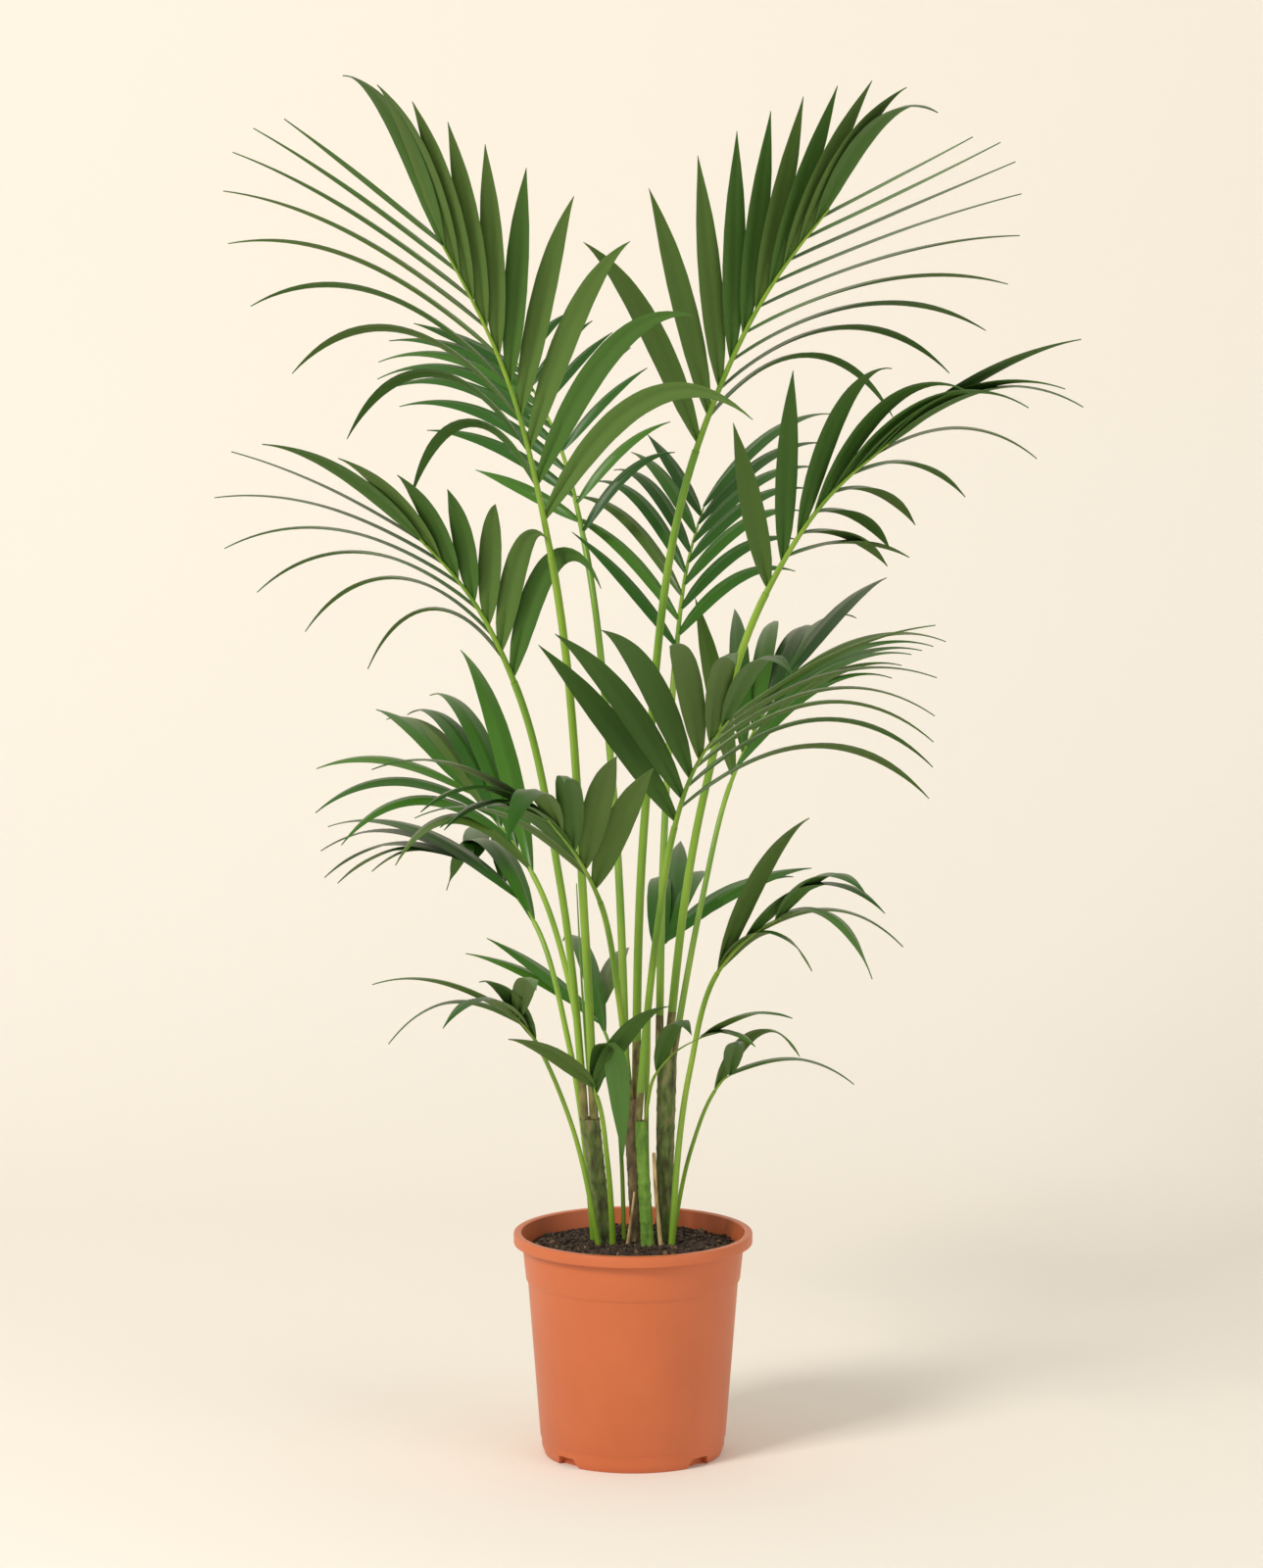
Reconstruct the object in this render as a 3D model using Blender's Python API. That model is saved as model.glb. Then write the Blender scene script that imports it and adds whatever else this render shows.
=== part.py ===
"""A potted kentia palm: four short canes and side shoots in a plastic nursery pot.

Metres, +Z up, the front towards -Y. The origin is the middle of the pot's underside.
Each frond is one smooth curve through five points. Its first half is the stalk and its second
half carries the blade, whose leaflets follow the rule in leaflet_line().
"""

from collections import namedtuple
from math import cos, pi, radians, sin

import bmesh
import bpy
import numpy as np
from mathutils.bvhtree import BVHTree

# Shared sizes
CLEAR = 0.0003
UP = np.array([0.0, 0.0, 1.0])

# Pot
POT_HEIGHT = 0.246
RIM_RADIUS = 0.130
MOUTH_RADIUS = 0.1217
FOOT_RADIUS = 0.0965
POT_SIDES = 40
FLOOR_TOP = 0.0115
WALL = 0.0025
HOLE_RADIUS = 0.006
HOLE_RING = 0.064
HOLE_COUNT = 6
NOTCH_ANGLES = (47, 133, 227, 313)
NOTCH_HEIGHT = 0.0105
NOTCH_TOP = 0.011
NOTCH_FOOT = 0.0174

# Soil
SOIL_TOP = 0.234
SOIL_EDGE = 0.227

# Leaves
RISE = 15
DROOP_POWER = 1.4
LEAF_STEPS = 5
LEAF_THINNEST = 0.003
LEAF_SLENDERNESS = 90
PROXY_MARGIN = 0.0008
RISE_TRIES = (0, 7, -7, 14, -14, 21, -21, 30, -30, 40, -40, 52, -52)
STALK_STEPS = 6
RACHIS_STEPS = 7

Cane = namedtuple("Cane", "foot top radii")
CANES = {
    "cane_left": Cane((-0.030, 0.000, SOIL_TOP), (-0.0470, 0.000, 0.3712), (0.0080, 0.0110)),
    "cane_middle": Cane((0.0042, 0.003, SOIL_TOP), (-0.0020, 0.003, 0.3927), (0.0065, 0.0095)),
    "cane_front": Cane((0.0159, -0.018, SOIL_TOP), (0.0080, -0.021, 0.3727), (0.0075, 0.0065)),
    "cane_right": Cane((0.0330, 0.000, SOIL_TOP), (0.0370, 0.002, 0.4427), (0.0090, 0.0110)),
}

# A side of a frond: spread in degrees, droop and length, each at the base, middle and tip of the
# blade; how many leaflets, from where to where along it; how far their faces turn to the sky
Side = namedtuple("Side", "spread droop length count first last lay")
Frond = namedtuple("Frond", "foot bow blade arch tip turn upper stalk width left right")

FRONDS = {
    "01": Frond(
        (-0.0425, -0.003, 0.3715), (-0.051, -0.045, 0.574), (-0.086, -0.120, 0.996),
        (-0.125, -0.180, 1.172), (-0.193, -0.300, 1.333), -30, "back", (0.0050, 0.0042), 0.026,
        Side((0, 44, 42), (3.5, 1.1, 0.1), (0.085, 0.315, 0.205), 9, 0.19, 1.00, 0.6),
        Side((45, 20, 9), (1.6, 0.4, 0.7), (0.370, 0.300, 0.365), 10, 0.11, 1.00, 0.1),
    ),
    "02": Frond(
        (0.0035, 0.0065, 0.393), (0.012, -0.045, 0.702), (0.066, -0.115, 1.108),
        (0.124, -0.175, 1.252), (0.199, -0.280, 1.369), 30, "back", (0.0050, 0.0041), 0.026,
        Side((38, 16, 12), (0.7, 0.0, 1.1), (0.310, 0.280, 0.380), 10, 0.03, 0.92, 0.1),
        Side((16, 71, 59), (2.4, 0.4, 0.0), (0.195, 0.345, 0.150), 9, 0.10, 0.95, 0.7),
    ),
    "03": Frond(
        (0.038, -0.003, 0.443), (0.076, -0.015, 0.727), (0.142, -0.030, 0.948),
        (0.200, -0.050, 1.044), (0.269, -0.090, 1.113), 30, "back", (0.0048, 0.0040), 0.026,
        Side((41, 12, 2), (0.0, 1.1, 0.2), (0.190, 0.280, 0.275), 7, 0.03, 0.92, 0.15),
        Side((32, 72, 0), (0.0, 1.3, 1.0), (0.265, 0.130, 0.250), 7, 0.20, 1.00, 0.8),
    ),
    "04": Frond(
        (-0.0525, -0.0055, 0.3715), (-0.079, -0.025, 0.637), (-0.127, -0.050, 0.855),
        (-0.167, -0.070, 0.940), (-0.224, -0.110, 1.014), -25, "back", (0.0044, 0.0040), 0.026,
        Side((10, 36, 32), (2.3, 1.2, 0.2), (0.180, 0.280, 0.215), 6, 0.08, 0.95, 0.8),
        Side((33, 25, 0), (1.5, 0.7, 0.6), (0.245, 0.165, 0.230), 7, 0.03, 1.00, 0.15),
    ),
    "05": Frond(
        (0.0285, 0.006, 0.443), (0.035, 0.060, 0.697), (0.047, 0.110, 0.867),
        (0.057, 0.170, 0.942), (0.080, 0.270, 1.014), 5, "front", (0.0045, 0.0035), 0.018,
        Side((48, 33, 37), (0.3, 0.9, 0.0), (0.165, 0.205, 0.125), 7, 0.03, 0.90, 0.4),
        Side((33, 25, 15), (1.0, 0.8, 0.6), (0.170, 0.220, 0.305), 7, 0.09, 0.98, 0.4),
    ),
    "06": Frond(
        (-0.0075, 0.0085, 0.393), (-0.024, 0.090, 0.746), (-0.054, 0.150, 0.987),
        (-0.079, 0.220, 1.078), (-0.130, 0.330, 1.167), -20, "front", (0.0048, 0.0036), 0.018,
        Side((49, 23, 28), (0.0, 0.9, 0.0), (0.080, 0.285, 0.115), 8, 0.08, 0.92, 0.4),
        Side((49, 64, 58), (0.9, 0.4, 0.6), (0.140, 0.130, 0.090), 8, 0.03, 0.97, 0.4),
    ),
    "07": Frond(
        (0.0055, -0.0205, 0.373), (0.025, -0.050, 0.580), (0.044, -0.100, 0.706),
        (0.062, -0.150, 0.770), (0.099, -0.230, 0.838), 30, "back", (0.0044, 0.0036), 0.028,
        Side((36, 25, 9), (0.2, 0.6, 0.8), (0.320, 0.375, 0.315), 6, 0.05, 0.93, 0.1),
        Side((71, 44, 35), (1.4, 1.3, 0.4), (0.335, 0.280, 0.255), 6, 0.13, 0.97, 0.6),
    ),
    "08": Frond(
        (0.0445, 0.0065, 0.443), (0.075, 0.050, 0.603), (0.106, 0.090, 0.724),
        (0.132, 0.135, 0.775), (0.171, 0.210, 0.826), -30, "front", (0.0038, 0.0028), 0.024,
        Side((31, 15, 0), (0.0, 0.9, 0.4), (0.240, 0.285, 0.280), 6, 0.07, 1.00, 0.2),
        Side((18, 28, 34), (1.1, 0.8, 0.9), (0.235, 0.215, 0.215), 6, 0.14, 0.94, 0.8),
    ),
    "09": Frond(
        (-0.003, -0.0025, 0.393), (-0.016, -0.045, 0.517), (-0.035, -0.110, 0.627),
        (-0.055, -0.155, 0.676), (-0.089, -0.220, 0.732), -25, "back", (0.0038, 0.0032), 0.030,
        Side((58, 10, 20), (0.6, 1.1, 0.7), (0.240, 0.235, 0.265), 5, 0.25, 0.95, 0.7),
        Side((30, 22, 5), (0.5, 0.6, 2.0), (0.250, 0.270, 0.260), 4, 0.15, 0.80, 0.1),
    ),
    "10": Frond(
        (-0.052, 0.0055, 0.3715), (-0.070, 0.025, 0.519), (-0.109, 0.050, 0.631),
        (-0.140, 0.075, 0.674), (-0.191, 0.120, 0.723), 30, "front", (0.0038, 0.0030), 0.028,
        Side((10, 31, 30), (2.0, 1.4, 0.6), (0.190, 0.215, 0.150), 4, 0.05, 0.85, 0.6),
        Side((18, 17, 6), (0.7, 1.0, 0.4), (0.320, 0.270, 0.160), 5, 0.03, 0.92, 0.5),
    ),
    "11": Frond(
        (-0.043, 0.0135, 0.234), (-0.070, 0.035, 0.447), (-0.108, 0.080, 0.573),
        (-0.136, 0.120, 0.605), (-0.186, 0.200, 0.627), 30, "front", (0.0038, 0.0028), 0.030,
        Side((26, 15, 32), (0.6, 1.0, 1.1), (0.210, 0.290, 0.120), 5, 0.25, 0.98, 0.75),
        Side((7, 31, 31), (1.8, 0.9, 0.4), (0.300, 0.230, 0.170), 3, 0.03, 0.90, 0.1),
    ),
    "12": Frond(
        (-0.038, -0.0145, 0.234), (-0.064, -0.035, 0.363), (-0.105, -0.080, 0.472),
        (-0.113, -0.100, 0.488), (-0.125, -0.125, 0.506), -20, "back", (0.0030, 0.0022), 0.024,
        Side((45, 32, 27), (1.1, 1.5, 0.7), (0.190, 0.180, 0.185), 2, 0.55, 1.00, 0.4),
        Side((7, 0, 39), (0.5, 1.0, 0.6), (0.205, 0.215, 0.220), 3, 0.05, 0.90, 0.3),
    ),
    "13": Frond(
        (-0.010, 0.015, 0.234), (-0.018, 0.040, 0.381), (-0.031, 0.075, 0.452),
        (-0.036, 0.085, 0.459), (-0.043, 0.100, 0.466), 20, "front", (0.0026, 0.0018), 0.022,
        Side((43, 17, 24), (0.9, 0.3, 0.4), (0.200, 0.195, 0.195), 2, 0.50, 1.00, 0.3),
        Side((9, 32, 31), (1.0, 0.8, 0.5), (0.270, 0.230, 0.200), 2, 0.05, 0.90, 0.3),
    ),
    "14": Frond(
        (0.042, -0.014, 0.234), (0.061, -0.035, 0.429), (0.090, -0.075, 0.544),
        (0.113, -0.100, 0.578), (0.156, -0.145, 0.616), 30, "back", (0.0038, 0.0028), 0.027,
        Side((13, 10, 25), (0.5, 1.0, 0.7), (0.300, 0.290, 0.280), 3, 0.05, 0.95, 0.2),
        Side((0, 26, 0), (1.7, 1.4, 2.4), (0.160, 0.190, 0.155), 3, 0.03, 0.96, 0.5),
    ),
    "15": Frond(
        (0.018, 0.016, 0.234), (0.016, 0.040, 0.419), (0.027, 0.075, 0.536),
        (0.032, 0.085, 0.545), (0.043, 0.105, 0.558), -10, "front", (0.0030, 0.0022), 0.027,
        Side((21, 11, 26), (1.3, 0.9, 0.5), (0.200, 0.205, 0.205), 3, 0.05, 0.95, 0.3),
        Side((45, 18, 21), (1.0, 0.7, 0.5), (0.210, 0.205, 0.205), 2, 0.60, 1.00, 0.3),
    ),
    "16": Frond(
        (0.0135, -0.0240, 0.373), (0.016, -0.040, 0.396), (0.023, -0.065, 0.430),
        (0.039, -0.085, 0.455), (0.074, -0.125, 0.484), 30, "back", (0.0020, 0.0018), 0.024,
        Side((10, 26, 11), (1.1, 0.8, 0.5), (0.170, 0.180, 0.190), 2, 0.10, 1.00, 0.3),
        Side((47, 33, 2), (1.0, 0.9, 1.0), (0.120, 0.105, 0.080), 1, 0.97, 0.97, 0.3),
    ),
    "17": Frond(
        (0.0435, 0.0095, 0.234), (0.064, -0.010, 0.342), (0.088, -0.035, 0.408),
        (0.094, -0.040, 0.418), (0.106, -0.055, 0.430), 20, "back", (0.0026, 0.0020), 0.022,
        Side((5, 18, 32), (1.5, 1.0, 0.5), (0.170, 0.180, 0.190), 2, 0.10, 0.95, 0.3),
        Side((46, 33, 20), (1.0, 1.1, 1.0), (0.175, 0.165, 0.155), 1, 0.90, 0.90, 0.3),
    ),
    "18": Frond(
        (-0.022, -0.012, 0.234), (-0.028, -0.040, 0.334), (-0.039, -0.070, 0.409),
        (-0.041, -0.073, 0.415), (-0.042, -0.078, 0.421), 10, "back", (0.0035, 0.0025), 0.028,
        Side((78, 62, 24), (2.8, 2.1, 0.3), (0.125, 0.130, 0.145), 2, 0.15, 0.95, 0.4),
        Side((38, 22, 28), (3.2, 3.6, 0.5), (0.200, 0.200, 0.180), 2, 0.33, 0.98, 0.4),
    ),
}

# The unopened leaf, the cut stub and the dry sheath, each a tapering tube through its points
Shoot = namedtuple("Shoot", "points radii")
SHOOTS = {
    "spear": Shoot(
        ((-0.0445, 0.0085, 0.3715), (-0.053, 0.001, 0.480), (-0.061, -0.004, 0.630)), (0.0022, 0.0006)
    ),
    "cut_stub": Shoot(
        ((0.0300, -0.0160, 0.234), (0.0250, -0.0190, 0.290), (0.0225, -0.0215, 0.337)), (0.0024, 0.0020)
    ),
    "dry_sheath": Shoot(
        ((-0.0060, -0.0130, 0.234), (-0.0020, -0.0150, 0.262), (0.0015, -0.0165, 0.293)), (0.0022, 0.0012)
    ),
}

# Colour, roughness
LOOKS = {
    "pot": ((0.72, 0.20, 0.065), 0.45),
    "soil": ((0.030, 0.018, 0.011), 0.95),
    "cane": ((0.16, 0.13, 0.05), 0.70),
    "stalk": ((0.25, 0.42, 0.03), 0.45),
    "frond": ((0.05, 0.17, 0.025), 0.45),
    "shoot": ((0.42, 0.30, 0.12), 0.80),
}


def unit(vector):
    return vector / np.linalg.norm(vector, axis=-1, keepdims=True)


def smooth_curve(points, count):
    """Points and tangents along one smooth curve through the given points, even in its own length."""
    knots = np.asarray(points, float)
    chords = np.linalg.norm(np.diff(knots, axis=0), axis=1)
    at = np.concatenate([[0], np.cumsum(chords)]) / chords.sum()
    step = np.diff(at)
    slope = np.diff(knots, axis=0) / step[:, None]
    pull = np.empty_like(knots)
    pull[1:-1] = (slope[:-1] * step[1:, None] + slope[1:] * step[:-1, None]) / (step[:-1] + step[1:])[:, None]
    pull[0] = 1.5 * slope[0] - 0.5 * pull[1]
    pull[-1] = 1.5 * slope[-1] - 0.5 * pull[-2]
    where = np.linspace(0, 1, count)
    cell = np.clip(np.searchsorted(at, where, side="right") - 1, 0, len(step) - 1)
    width = step[cell][:, None]
    s = (where[:, None] - at[cell][:, None]) / width
    start, end = knots[cell], knots[cell + 1]
    leave, arrive = pull[cell] * width, pull[cell + 1] * width
    line = (
        start * (2 * s**3 - 3 * s**2 + 1) + leave * (s**3 - 2 * s**2 + s)
        + end * (3 * s**2 - 2 * s**3) + arrive * (s**3 - s**2)
    )
    tangent = (
        start * (6 * s**2 - 6 * s) + leave * (3 * s**2 - 4 * s + 1)
        + end * (6 * s - 6 * s**2) + arrive * (3 * s**2 - 2 * s)
    )
    return line, unit(tangent)


def part_of_curve(line, tangent, low, high, count):
    """The stretch of a curve between two shares of it, resampled."""
    share = np.linspace(0, 1, len(line))
    where = np.linspace(low, high, count)
    pick = [np.interp(where, share, line[:, axis]) for axis in range(3)]
    turn = [np.interp(where, share, tangent[:, axis]) for axis in range(3)]
    return np.stack(pick, axis=1), unit(np.stack(turn, axis=1))


def mesh_object(name, look, points, faces):
    mesh = bpy.data.meshes.new(name)
    mesh.from_pydata([tuple(p) for p in points], [], faces)
    part = bpy.data.objects.new(name, mesh)
    bpy.context.scene.collection.objects.link(part)
    mesh.materials.append(material(look))
    work = bmesh.new()
    work.from_mesh(mesh)
    bmesh.ops.recalc_face_normals(work, faces=work.faces)
    work.to_mesh(mesh)
    work.free()
    return part


def material(look):
    found = bpy.data.materials.get(look)
    if found:
        return found
    colour, roughness = LOOKS[look]
    made = bpy.data.materials.new(look)
    made.use_nodes = True
    shader = made.node_tree.nodes["Principled BSDF"]
    shader.inputs["Base Color"].default_value = (*colour, 1)
    shader.inputs["Roughness"].default_value = roughness
    shader.inputs["Metallic"].default_value = 0
    return made


def tube(line, tangent, radii, sides, flat_foot=False):
    """Points and faces of a closed tapering tube. A flat foot has its first ring level."""
    points = []
    for place, along, radius in zip(line, tangent, radii):
        across = unit(np.cross(along, (0.0, 1.0, 0.0)))
        back = np.cross(across, along)
        for k in range(sides):
            angle = 2 * pi * (k + 0.5) / sides
            points.append(place + radius * (cos(angle) * across + sin(angle) * back))
    if flat_foot:
        for k in range(sides):
            angle = 2 * pi * (k + 0.5) / sides
            points[k] = line[0] + radii[0] * np.array((-cos(angle), sin(angle), 0.0))
    faces = [tuple(range(sides)), tuple(range((len(line) - 1) * sides, len(line) * sides))]
    for ring in range(len(line) - 1):
        for k in range(sides):
            a = ring * sides + k
            b = ring * sides + (k + 1) % sides
            faces.append((a, b, b + sides, a + sides))
    return points, faces


def frond_frame(tangent, turn, upper):
    """The side and the upward normal of a blade that turns by an angle about +Z."""
    facing = np.array((cos(radians(turn)), sin(radians(turn)), 0.0))
    side = unit(facing - (facing @ tangent) * tangent)
    normal = np.cross(side, tangent)
    return side, -normal if upper == "back" else normal


def along_blade(values, t):
    """A value that runs from base to middle to tip."""
    base, middle, tip = values
    return base * (1 - t) * (1 - 2 * t) + middle * 4 * t * (1 - t) + tip * t * (2 * t - 1)


def leaflet_line(start, tangent, side, normal, sign, spread, rise, droop, length, steps):
    """A leaflet leaves its rib at an angle and bends down under its weight."""
    out, lift = radians(spread), radians(rise)
    first = cos(out) * tangent + sin(out) * (sign * cos(lift) * side + sin(lift) * normal)
    share = (np.arange(steps) + 0.5) / steps
    heading = unit(first - UP * (droop * share[:, None] ** DROOP_POWER))
    return np.vstack([start, start + np.cumsum(heading * length / steps, axis=0)])


def leaf_shape(line, normal, lay, width, thick):
    """A leaflet as a closed blade with three faces: two edges and a ridge."""
    steps = len(line) - 1
    along = unit(np.gradient(line, axis=0))
    toward = unit(normal - (along @ normal)[:, None] * along)
    sky = unit(UP - (along @ UP)[:, None] * along)
    face = unit((1 - lay) * toward + lay * sky)
    across = np.cross(along, face)
    share = np.linspace(0, 1, steps + 1)
    half = 0.5 * width * np.interp(share, (0, 0.15, 0.4, 0.7, 0.9, 1), (0.35, 0.70, 1.0, 0.8, 0.35, 0.02))
    points = []
    for k in range(steps):
        points += [
            line[k] - across[k] * half[k],
            line[k] + across[k] * half[k],
            line[k] + face[k] * thick * (1 - 0.4 * share[k]),
        ]
    points.append(line[-1])
    faces = [(0, 1, 2)]
    for k in range(steps - 1):
        a = 3 * k
        faces += [(a, a + 3, a + 4, a + 1), (a + 1, a + 4, a + 5, a + 2), (a + 2, a + 5, a + 3, a)]
    a = 3 * (steps - 1)
    tip = 3 * steps
    faces += [(a, tip, a + 1), (a + 1, tip, a + 2), (a + 2, tip, a)]
    return points, faces


def tree_of(points, faces):
    return BVHTree.FromPolygons([tuple(p) for p in points], faces)


class Blade:
    """One frond's curve, split where its leaflets begin."""

    def __init__(self, name):
        self.name = name
        self.plan = FRONDS[name]
        knots = (self.plan.foot, self.plan.bow, self.plan.blade, self.plan.arch, self.plan.tip)
        chords = np.linalg.norm(np.diff(np.asarray(knots), axis=0), axis=1)
        self.split = chords[:2].sum() / chords.sum()
        self.length = chords.sum()
        self.line, self.tangent = smooth_curve(knots, 161)

    def stalk(self):
        line, tangent = part_of_curve(self.line, self.tangent, 0, self.split, STALK_STEPS + 1)
        radii = np.linspace(*self.plan.stalk, STALK_STEPS + 1)
        return tube(line, tangent, radii, 6, flat_foot=True)

    def rachis(self):
        start = self.split + CLEAR / self.length
        line, tangent = part_of_curve(self.line, self.tangent, start, 1, RACHIS_STEPS + 1)
        radii = self.plan.stalk[1] * np.linspace(0.85, 0.3, RACHIS_STEPS + 1)
        return tube(line, tangent, radii, 4)

    def leaflets(self):
        """Each leaflet's place along the blade, its sign and its side's values, from the base up."""
        for sign, side in ((-1, self.plan.left), (1, self.plan.right)):
            for t in np.linspace(side.first, side.last, side.count):
                yield t, sign, side

    def leaflet(self, t, sign, side, rise, margin=0.0):
        where = self.split + t * (1 - self.split)
        place, along = part_of_curve(self.line, self.tangent, where, where, 1)
        across, normal = frond_frame(along[0], self.plan.turn, self.plan.upper)
        length = along_blade(side.length, t)
        line = leaflet_line(
            place[0], along[0], across, normal, sign, along_blade(side.spread, t), rise,
            along_blade(side.droop, t), length, LEAF_STEPS,
        )
        thick = max(LEAF_THINNEST, length / LEAF_SLENDERNESS)
        return leaf_shape(line, normal, side.lay, self.plan.width + margin, thick + margin)


def turned(name, look, profile, sides):
    """A closed solid turned about the Z axis from a profile that starts and ends on the axis."""
    points = [(0, 0, profile[0][1])]
    for radius, height in profile[1:-1]:
        for k in range(sides):
            angle = 2 * pi * k / sides
            points.append((radius * cos(angle), radius * sin(angle), height))
    points.append((0, 0, profile[-1][1]))
    last = len(points) - 1
    faces = []
    rings = len(profile) - 2
    for k in range(sides):
        after = (k + 1) % sides
        faces.append((0, 1 + after, 1 + k))
        top = 1 + (rings - 1) * sides
        faces.append((last, top + k, top + after))
        for ring in range(rings - 1):
            a = 1 + ring * sides
            faces.append((a + k, a + after, a + sides + after, a + sides + k))
    return mesh_object(name, look, points, faces)


def cut(part, cutters):
    """Takes the cutters out of the part, one by one. The first solver leaves the turned pot open."""
    bpy.context.view_layer.objects.active = part
    for cutter in cutters:
        cutter.hide_render = True
        cutter.display_type = "WIRE"
        bite = part.modifiers.new("cut", "BOOLEAN")
        bite.object = cutter
        bite.operation = "DIFFERENCE"
        bite.solver = "MANIFOLD"
        bpy.ops.object.modifier_apply(modifier=bite.name)
        bpy.data.objects.remove(cutter)


def pot():
    underside = 0.009
    profile = (
        (0, 0), (0.045, 0), (0.050, underside), (0.078, underside), (0.080, 0),
        (FOOT_RADIUS, 0), (0.0996, 0.0096), (0.1002, 0.0195), (0.1013, 0.0205),
        (0.1144, 0.1906), (0.1167, 0.1949), (0.1195, 0.2222), (0.1207, 0.2335),
        (RIM_RADIUS, 0.2335), (RIM_RADIUS, 0.2450), (RIM_RADIUS - 0.001, POT_HEIGHT),
        (MOUTH_RADIUS, POT_HEIGHT), (0.1185, 0.2250), (0.1142, 0.1950), (0.1119, 0.1900),
        (0.1013 - WALL, 0.0205), (0.0960, FLOOR_TOP), (0, FLOOR_TOP),
    )
    body = turned("pot", "pot", profile, POT_SIDES)
    cutters = []
    for k in range(HOLE_COUNT):
        angle = 2 * pi * (k + 0.5) / HOLE_COUNT
        foot = np.array((HOLE_RING * cos(angle), HOLE_RING * sin(angle), -0.01))
        line = np.array((foot, foot + UP * 0.04))
        points, faces = tube(line, np.array((UP, UP)), (HOLE_RADIUS, HOLE_RADIUS), 10)
        cutters.append(mesh_object(f"hole_cutter_{k}", "pot", points, faces))
    for angle in NOTCH_ANGLES:
        out = np.array((sin(radians(angle)), -cos(radians(angle)), 0.0))
        across = np.array((-out[1], out[0], 0.0))
        section = ((-NOTCH_FOOT, -0.002), (NOTCH_FOOT, -0.002), (NOTCH_TOP, NOTCH_HEIGHT), (-NOTCH_TOP, NOTCH_HEIGHT))
        points = [out * reach + across * x + UP * z for reach in (0.0885, 0.115) for x, z in section]
        faces = [(0, 1, 2, 3), (7, 6, 5, 4), (0, 4, 5, 1), (1, 5, 6, 2), (2, 6, 7, 3), (3, 7, 4, 0)]
        cutters.append(mesh_object(f"notch_cutter_{angle}", "pot", points, faces))
    cut(body, cutters)
    return body


def soil():
    """Level round the stems, lower at the wall."""
    top = SOIL_TOP - CLEAR
    profile = (
        (0, FLOOR_TOP + CLEAR), (0.0953, FLOOR_TOP + CLEAR), (0.0981, 0.0205),
        (0.1111, 0.1900), (0.1134, 0.1950), (0.1179, SOIL_EDGE), (0.0950, SOIL_EDGE + 0.002), (0.072, top), (0, top),
    )
    return turned("soil", "soil", profile, 32)


def outer_shell(part):
    """Keeps the largest closed body: sealed hollows are filled and loose scraps dropped."""
    work = bmesh.new()
    work.from_mesh(part.data)
    seen = set()
    islands = []
    for face in work.faces:
        if face in seen:
            continue
        island, queue = [], [face]
        seen.add(face)
        while queue:
            one = queue.pop()
            island.append(one)
            for edge in one.edges:
                for other in edge.link_faces:
                    if other not in seen:
                        seen.add(other)
                        queue.append(other)
        islands.append(island)
    islands.sort(key=len)
    for island in islands[:-1]:
        bmesh.ops.delete(work, geom=island, context="FACES")
    bmesh.ops.triangulate(work, faces=work.faces)
    closed = all(len(edge.link_faces) == 2 for edge in work.edges)
    work.to_mesh(part.data)
    work.free()
    return closed


def fuse(part, pieces):
    """One union of a rib with its leaflets, by the second solver where the first leaves it open."""
    group = bpy.data.collections.new("leaflets")
    bpy.context.scene.collection.children.link(group)
    for piece in pieces:
        bpy.context.scene.collection.objects.unlink(piece)
        group.objects.link(piece)
    rib = part.data.copy()
    for solver in ("EXACT", "MANIFOLD"):
        part.data = rib.copy()
        joined = part.modifiers.new("leaflets", "BOOLEAN")
        joined.operand_type = "COLLECTION"
        joined.collection = group
        joined.operation = "UNION"
        joined.solver = solver
        bpy.context.view_layer.objects.active = part
        bpy.ops.object.modifier_apply(modifier=joined.name)
        if outer_shell(part):
            break
    print(part.name, solver, len(part.data.polygons))
    for piece in pieces:
        bpy.data.objects.remove(piece)
    bpy.data.collections.remove(group)


def canes():
    """The canes' solids, with the tree that leaflets are tested against."""
    solids = {}
    for name, cane in CANES.items():
        line = np.linspace(cane.foot, cane.top, 5)
        radii = np.linspace(*cane.radii, 5)
        level = np.tile(UP, (5, 1))
        points, faces = tube(line, level, radii, 12, flat_foot=True)
        mesh_object(name, "cane", points, faces)
        solids[name] = tree_of(points, faces)
    return solids


def shoots():
    solids = {}
    for name, shoot in SHOOTS.items():
        line, tangent = smooth_curve(shoot.points, 7)
        points, faces = tube(line, tangent, np.linspace(*shoot.radii, 7), 6, flat_foot=True)
        mesh_object(name, "shoot", points, faces)
        solids[name] = tree_of(points, faces)
    return solids


def clear_leaflet(blade, t, sign, side, solids):
    """The rise nearest the usual one at which a leaflet touches no other node, or None."""
    for change in RISE_TRIES:
        rise = RISE + change
        proxy = tree_of(*blade.leaflet(t, sign, side, rise, PROXY_MARGIN))
        others = (tree for owner, tree in solids if owner != blade.name)
        if not any(proxy.overlap(tree) for tree in others):
            return rise
    return None


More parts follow.
